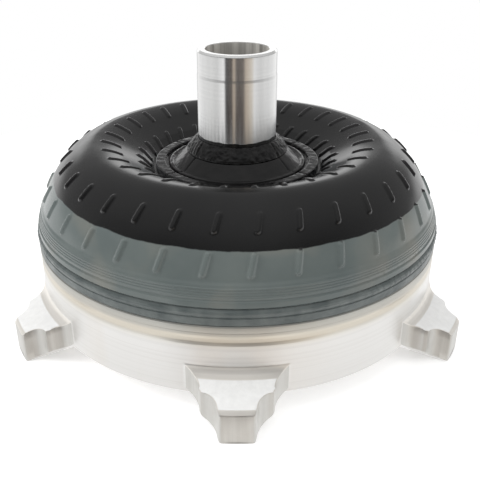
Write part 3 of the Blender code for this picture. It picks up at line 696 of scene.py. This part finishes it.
def lug():
    """One lug along +X as a stack of sections at growing radius, its root sunk into the cup."""
    plan_r, plan_half = lug_plan()
    on_root = np.arange(BODY_R + 0.2, BODY_R + 4.0, 0.35)
    on_top = np.arange(BODY_R + 4.5, LUG_TIP_R - 2.5, 1.2)
    steps = np.concatenate([plan_r, on_root, on_top, [LUG_TIP_R - LUG_CHAMFER]])
    steps = np.unique(np.round(steps / 0.2) * 0.2)
    sections = [lug_section(r, LUG_SUNK_HALF, LUG_SUNK_TOP_Z, 0.0) for r in LUG_SUNK_RADII]
    sections += [lug_section(r, LUG_WALL_HALF, lug_top(r), 0.0) for r in LUG_WALL_RADII]
    for r in [*steps[steps > BODY_R + 0.1], LUG_TIP_R]:
        inset = LUG_EDGE if r == LUG_TIP_R else 0.0
        sections.append(lug_section(r, float(np.interp(r, plan_r, plan_half)), lug_top(r), inset))
    rows, across = len(sections), len(sections[0])
    index = np.arange(rows * across).reshape(rows, across)
    beside = np.roll(index, -1, axis=1)
    faces = np.stack([index[:-1], index[1:], beside[1:], beside[:-1]], axis=-1).reshape(-1, 4).tolist()
    faces += [index[0].tolist(), index[-1][::-1].tolist()]
    return add_mesh("lug", np.array(sections).reshape(-1, 3), faces)


def boolean(obj, other, operation):
    step = obj.modifiers.new(other.name, "BOOLEAN")
    step.operation = operation
    step.solver = "EXACT"
    step.object = other


def bolt_hole():
    """A cutter for one bolt hole, with its countersink and the crests of its thread."""
    profile = [(0.4, -1.0), (BOLT_HOLE_R + 1.9, -1.0), (BOLT_HOLE_R, 0.9)]
    pitch, crest = 1.27, 0.45
    z = 1.6
    while z < BOLT_DEPTH - 2.0:
        profile += [(BOLT_HOLE_R, z), (BOLT_HOLE_R - crest, z + pitch / 2)]
        z += pitch
    profile += [(BOLT_HOLE_R - crest, BOLT_DEPTH - 1.2), (0.4, BOLT_DEPTH)]
    return turned("bolt_hole", profile, 32, looped=False)


def front_cover(wall_look, lit_top_look, shaded_side_look, root_look):
    cover = cover_cup()
    first, hole = lug(), bolt_hole()
    turns = [Matrix.Rotation(2 * pi * k / LUGS - pi / 2, 4, "Z") for k in range(LUGS)]
    lugs = join_copies(first, turns)
    holes = join_copies(hole, [turn @ Matrix.Translation((BOLT_CIRCLE_R * MM, 0, 0)) for turn in turns])
    helpers = [first, hole, lugs, holes]
    boolean(lugs, holes, "DIFFERENCE")
    boolean(cover, lugs, "UNION")
    applied = bpy.data.meshes.new_from_object(cover.evaluated_get(bpy.context.evaluated_depsgraph_get()))
    cover.modifiers.clear()
    cover.data = applied
    for obj in helpers:
        bpy.data.objects.remove(obj)
    dressed(cover, wall_look, lit_top_look, shaded_side_look, root_look)
    for face in applied.polygons:
        x, y, z = face.center / MM
        r, up = hypot(x, y), face.normal.z
        on_wall = r < BODY_R + 0.2 or z > ROOT_TOP_Z
        on_root = r < LUG_ROOT_CENTRE[0] and 0.02 < up < 0.92 and z > ROOT_LOW_Z
        on_chamfer = 0.5 < up < 0.85
        # Upward faces take the lighter top steel and steeper ones the darker side steel: painted light and
        # shade.
        face.material_index = 0 if on_wall else 3 if on_root or on_chamfer else 1 if up > 0.85 else 2
    applied.shade_smooth()
    applied.set_sharp_from_angle(angle=radians(28))
    return cover


def join_copies(obj, places):
    """An object holding a copy of another object's mesh at each place."""
    points, faces = [], []
    corners = [v.co.copy() for v in obj.data.vertices]
    for place in places:
        start = len(points)
        points += [tuple(place @ c) for c in corners]
        faces += [[start + i for i in face.vertices] for face in obj.data.polygons]
    mesh = bpy.data.meshes.new(obj.name + "_copies")
    mesh.from_pydata(points, [], faces)
    copies = bpy.data.objects.new(mesh.name, mesh)
    bpy.context.scene.collection.objects.link(copies)
    return copies


def crank_pilot(look):
    """The pilot that centres the converter in the crankshaft."""
    profile = [
        (15.0, 10.7), (15.0, 2.6, 0.3), (15.6, 2.0, 0.3), (20.4, 2.0, 0.4), (21.65, 3.3, 0.4),
        (21.65, 9.6, 0.3), (21.2, 10.1, 0.2), (21.2, 10.7),
    ]
    return dressed(turned("crank_pilot_boss", fine(rounded(profile), 1.0)[::-1], 144, sharp_angle=30), look)


# --- Studio --------------------------------------------------------------------------------------

CAMERA_PLACE = (0.0, -394.64, 240.04)
CAMERA_DOWN = radians(26.37)
CAMERA_LENS = 49.93
CAMERA_SHIFT = (0.006, -0.0183)
FLOOR_RADIUS = 430.0
LIGHT_AIM = (0.0, 0.0, 60.0)


def floor():
    path = [(4.0, -0.05), (150.0, -0.05), (FLOOR_RADIUS, -0.05), (FLOOR_RADIUS, -3.0), (4.0, -3.0)]
    disc = turned("studio_floor", path, 96, looped=False)
    look = Look("studio_floor")
    pale = look.ramp(look.noise(15.0), [(0.3, (0.86, 0.86, 0.86)), (0.7, (0.90, 0.90, 0.90))])
    dressed(disc, look.finish(pale, 0.9, Emission_Color=(1.0, 1.0, 1.0, 1.0), Emission_Strength=0.3))
    disc.visible_glossy = False


def camera():
    data = bpy.data.cameras.new("camera")
    data.lens = CAMERA_LENS
    data.shift_x, data.shift_y = CAMERA_SHIFT
    data.clip_start, data.clip_end = 0.01, 20.0
    obj = bpy.data.objects.new("camera", data)
    obj.location = Vector(CAMERA_PLACE) * MM
    obj.rotation_euler = (pi / 2 - CAMERA_DOWN, 0.0, 0.0)
    bpy.context.scene.collection.objects.link(obj)
    bpy.context.scene.camera = obj


def softbox(name, place, size, watts):
    """A soft light aimed at the object, which mirrors don't show."""
    data = bpy.data.lights.new(name, "AREA")
    data.shape = "RECTANGLE"
    data.size, data.size_y = size
    data.energy = watts
    obj = bpy.data.objects.new(name, data)
    obj.location = place
    obj.rotation_euler = (Vector(LIGHT_AIM) * MM - Vector(place)).to_track_quat("-Z", "Y").to_euler()
    obj.visible_glossy = False
    bpy.context.scene.collection.objects.link(obj)


def around_at(degrees):
    """Place on a ramp that runs round the room, from degrees from -Y towards +X."""
    return 0.5 + degrees / 360.0


def rise_at(degrees):
    """Place on a ramp that runs from straight down to straight up, from degrees above the horizon."""
    return 0.5 + 0.5 * sin(radians(degrees))


def room_colour(room, around, rise):
    """What glossy surfaces mirror: a dim ceiling, a pale table, and strips at the height of the hub."""
    tan_tone, brown, dark = (0.62, 0.52, 0.42), (0.10, 0.08, 0.07), (0.04, 0.04, 0.04)
    glow_tone = 1.3
    strips = (
        (-180, 0.35), (-145, 1.1), (-60, 0.85), (-42, 1.2), (-37, 1.3), (-33, dark), (-14, brown),
        (-11, tan_tone), (-7, tan_tone), (-3, brown), (18, brown), (24, tan_tone),
        (42, (0.85, 0.77, 0.67)), (50, 1.1), (70, 0.85), (145, 1.1), (180, 0.35),
    )
    table = (
        (-120, 1.05), (-50, 0.95), (-30, 1.1), (-14, (0.86, 0.78, 0.70)), (0, 1.0),
        (12, (0.95, 0.86, 0.78)), (30, 1.1), (50, 0.95), (120, 1.05),
    )
    ahead = ((2, 0.3), (10, 0.07), (30, 0.10), (55, 0.40), (90, 0.50))
    back = ((0, 0.35), (25, 0.36), (60, 0.45), (90, 0.50))
    glow = ((0, glow_tone), (12, glow_tone), (17, 0.0))
    facing = ((-100, 0.0), (-45, 1.0), (45, 1.0), (100, 0.0))
    behind = ((-180, 1.0), (-155, 1.0), (-140, 0.0), (140, 0.0), (155, 1.0))

    def turning(stops):
        return room.ramp(around, [(around_at(degrees), tone) for degrees, tone in stops])

    def rising(stops):
        return room.ramp(rise, [(rise_at(degrees), tone) for degrees, tone in stops])

    above = room.mix(turning(facing), rising(back), rising(ahead))
    above = room.mix(room.math("MULTIPLY", rising(glow), turning(behind)), above, (glow_tone,) * 3)
    below = room.mix(rising(((-34, 0.0), (-27, 1.0))), turning(table), turning(strips))
    return room.mix(rising(((-2, 0.0), (5, 1.0))), below, above)


def studio():
    """An even light all round. Glossy surfaces mirror a darker room, and the camera sees white."""
    world = bpy.data.worlds.new("studio")
    bpy.context.scene.world = world
    world.use_nodes = True
    world.node_tree.nodes.clear()
    room = Nodes(world.node_tree)
    direction = room.node("ShaderNodeTexCoord").outputs["Generated"]
    x, y, z = room.node("ShaderNodeSeparateXYZ", {"Vector": direction}).outputs
    around = room.remap(room.math("ARCTAN2", x, room.math("MULTIPLY", y, -1.0)), -pi, pi)
    rise = room.remap(z, -1.0, 1.0)
    even_tone = room.ramp(rise, [(rise_at(-20), 0.8), (rise_at(15), 0.65), (rise_at(70), 1.05)])
    mirrored = room.node("ShaderNodeBackground", {"Color": room_colour(room, around, rise)})
    even = room.node("ShaderNodeBackground", {"Color": even_tone})
    backdrop = room.node("ShaderNodeBackground", {"Color": (1.0, 1.0, 1.0)})
    ray = room.node("ShaderNodeLightPath").outputs

    def choose(share, a, b):
        return room.node("ShaderNodeMixShader", {0: share, 1: a.outputs[0], 2: b.outputs[0]})

    seen = choose(ray["Is Camera Ray"], choose(ray["Is Glossy Ray"], even, mirrored), backdrop)
    room.node("ShaderNodeOutputWorld", {"Surface": seen.outputs[0]})
    world.cycles.sampling_method = "NONE"

    softbox("top_box", (0.0, 0.15, 1.3), (1.5, 1.2), 5.0)
    softbox("left_box", (-1.1, -0.2, 0.7), (0.5, 0.7), 8.0)
    softbox("right_box", (1.1, -0.4, 0.7), (0.7, 0.9), 3.0)
    bpy.context.scene.view_settings.view_transform = "Standard"


# --- Assembly ------------------------------------------------------------------------------------


def stand_for(piece, node):
    """A detailed piece takes the place of a CAD node on the housing."""
    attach(piece, "housing")
    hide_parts(node)


def dress_inner_nodes(nodes, replaced):
    """The pieces inside keep their CAD shapes and get their materials by what they are made of."""
    dark = turned_steel("inner_steel", (0.30, 0.30, 0.31), (0.42, 0.42, 0.43), 0.30, 0.45, 0.15)
    bright = turned_steel("inner_bright_steel", (0.60, 0.60, 0.60), (0.78, 0.78, 0.77), 0.15, 0.28, 0.08)
    alloy = cast_metal("inner_alloy", (0.48, 0.49, 0.50), (0.64, 0.65, 0.66), 0.45)
    bronze = cast_metal("inner_bronze", (0.42, 0.28, 0.11), (0.60, 0.43, 0.19), 0.35)
    paper, rubber = friction_paper(), seal_rubber()
    rules = [
        ("friction_plate", paper), ("_seal", rubber), ("cage", bronze), ("_cap", bronze), ("blades", alloy),
        ("stator_wheel", alloy), ("clutch_piston", alloy), ("race", bright), ("roller", bright),
        ("snap_ring", bright), ("spring", bright),
    ]
    for name, node in nodes.items():
        if name not in replaced:
            dressed(node, next((look for part, look in rules if part in name), dark))


def housing_pieces():
    """The pieces seen from outside, by the CAD node that each stands for."""
    wall = cover_steel()
    across, upright = (260, 260, 40), (300, 300, 12)
    # Tops and sides are the same milled steel: the lighter top colour is painted light and the darker side
    # colour painted shade.
    top = milled_steel("lug_top_steel_painted_light", (0.80, 0.80, 0.79), (0.88, 0.88, 0.87), 0.38, 0.5, across, 0.25)
    side = milled_steel("lug_side_steel_painted_shade", (0.56, 0.55, 0.52), (0.68, 0.67, 0.64), 0.32, 0.45, upright, 0.75)
    root = turned_steel("lug_root_steel", (0.72, 0.69, 0.64), (0.86, 0.83, 0.78), 0.30, 0.40, 0.08, 0.55)
    # The hub's end ring: its brighter colour is a painted highlight on the upward faces.
    ring = turned_steel("hub_end_steel_painted_highlight", (0.80, 0.80, 0.79), (0.93, 0.93, 0.92), 0.12, 0.2, 0.05, 0.8)
    pieces = {
        "front_cover": front_cover(wall, top, side, root),
        "crank_pilot": crank_pilot(wall),
        "closure_weld": closure_weld(weld_paint()),
        "impeller_shell": impeller_shell(shell_paint()),
        "pump_drive_hub": pump_drive_hub(hub_steel(), ring, bore_steel()),
        "hub_flange": hub_flange(black_paint("flange_black_paint", 0.12, 0.22, 0.35)),
        "hub_weld": hub_weld(black_paint("weld_black_paint", 0.15, 0.4, 0.6)),
    }
    # The steel beside the shell mirrors the room and not the dark shell.
    pieces["impeller_shell"].visible_glossy = False
    return pieces


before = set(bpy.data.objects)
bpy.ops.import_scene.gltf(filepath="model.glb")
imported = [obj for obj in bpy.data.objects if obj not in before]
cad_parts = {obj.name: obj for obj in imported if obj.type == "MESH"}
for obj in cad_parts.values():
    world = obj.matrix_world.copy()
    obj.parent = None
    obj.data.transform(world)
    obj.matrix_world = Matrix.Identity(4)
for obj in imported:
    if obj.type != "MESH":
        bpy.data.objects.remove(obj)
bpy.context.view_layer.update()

pieces = housing_pieces()
for node_name, piece in pieces.items():
    stand_for(piece, node_name)
dress_inner_nodes(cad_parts, pieces)

floor()
studio()
camera()
